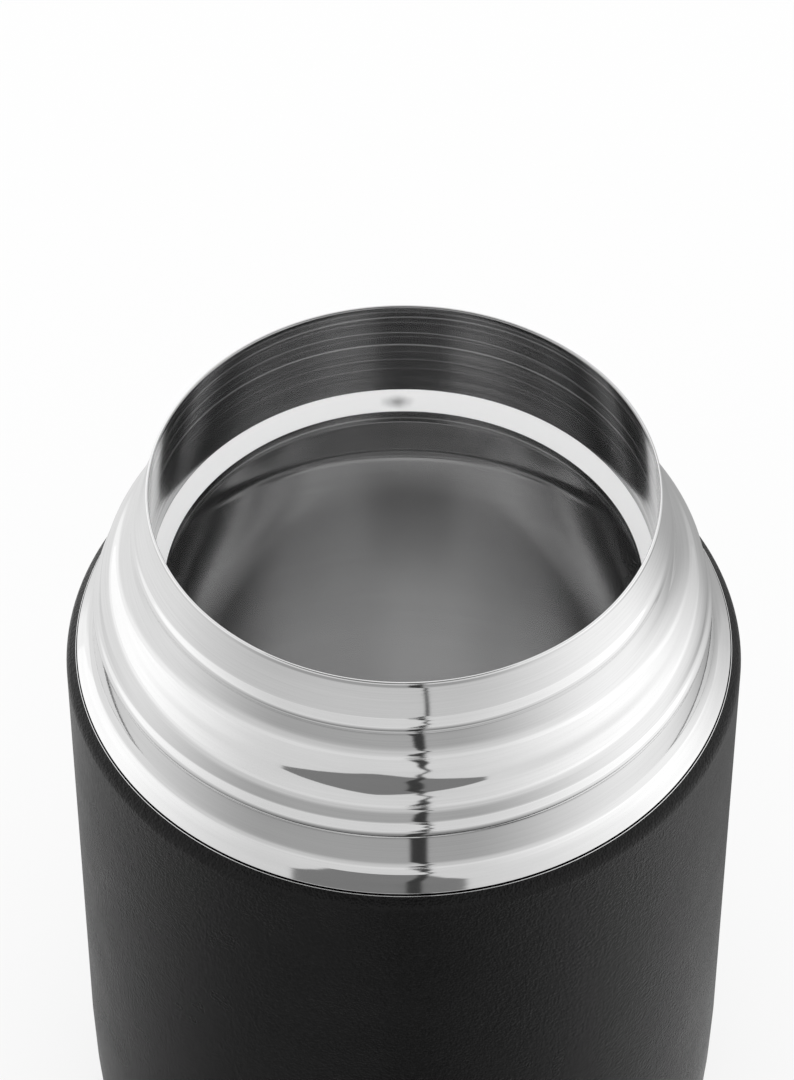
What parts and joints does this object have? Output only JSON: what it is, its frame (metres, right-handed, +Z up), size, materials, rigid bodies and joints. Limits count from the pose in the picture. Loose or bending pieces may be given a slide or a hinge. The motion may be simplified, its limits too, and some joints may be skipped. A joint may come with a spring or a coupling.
{
  "type": "insulated food jar",
  "caption": "Open double-walled steel food jar with a stepped, thread-ridged polished neck, a sealing ledge inside the wide mouth and a satin black body.",
  "frame": {"origin": "on the jar's axis, on the surface that it stands on", "axes": "+Z up along the jar's axis; the jar is round, so +X and -Y (the front) are free choices"},
  "size_m": [0.1, 0.1, 0.144],
  "materials": {
    "black_coating": "fine-grained satin powder coat",
    "polished_steel": "turned and polished",
    "liner_steel": "turned, satin",
    "copper": "bright foil",
    "pressed_steel": "mill finish",
    "seal_glass": "fused bead",
    "getter_alloy": "sintered",
    "cover_coating": "satin powder coat",
    "pad_rubber": "matte"
  },
  "bodies": {
    "root": {"outer_shell": "black_coating", "neck_ring": "polished_steel", "liner_neck": "liner_steel", "liner_cup": "liner_steel", "copper_foil": "copper", "foil_disc": "copper", "outer_bottom": "pressed_steel", "vacuum_seal": "seal_glass", "seal_plate": "pressed_steel", "getter": "getter_alloy", "getter_clip": "pressed_steel", "base_cover": "cover_coating", "base_pad": "pad_rubber"}
  },
  "joints": []
}
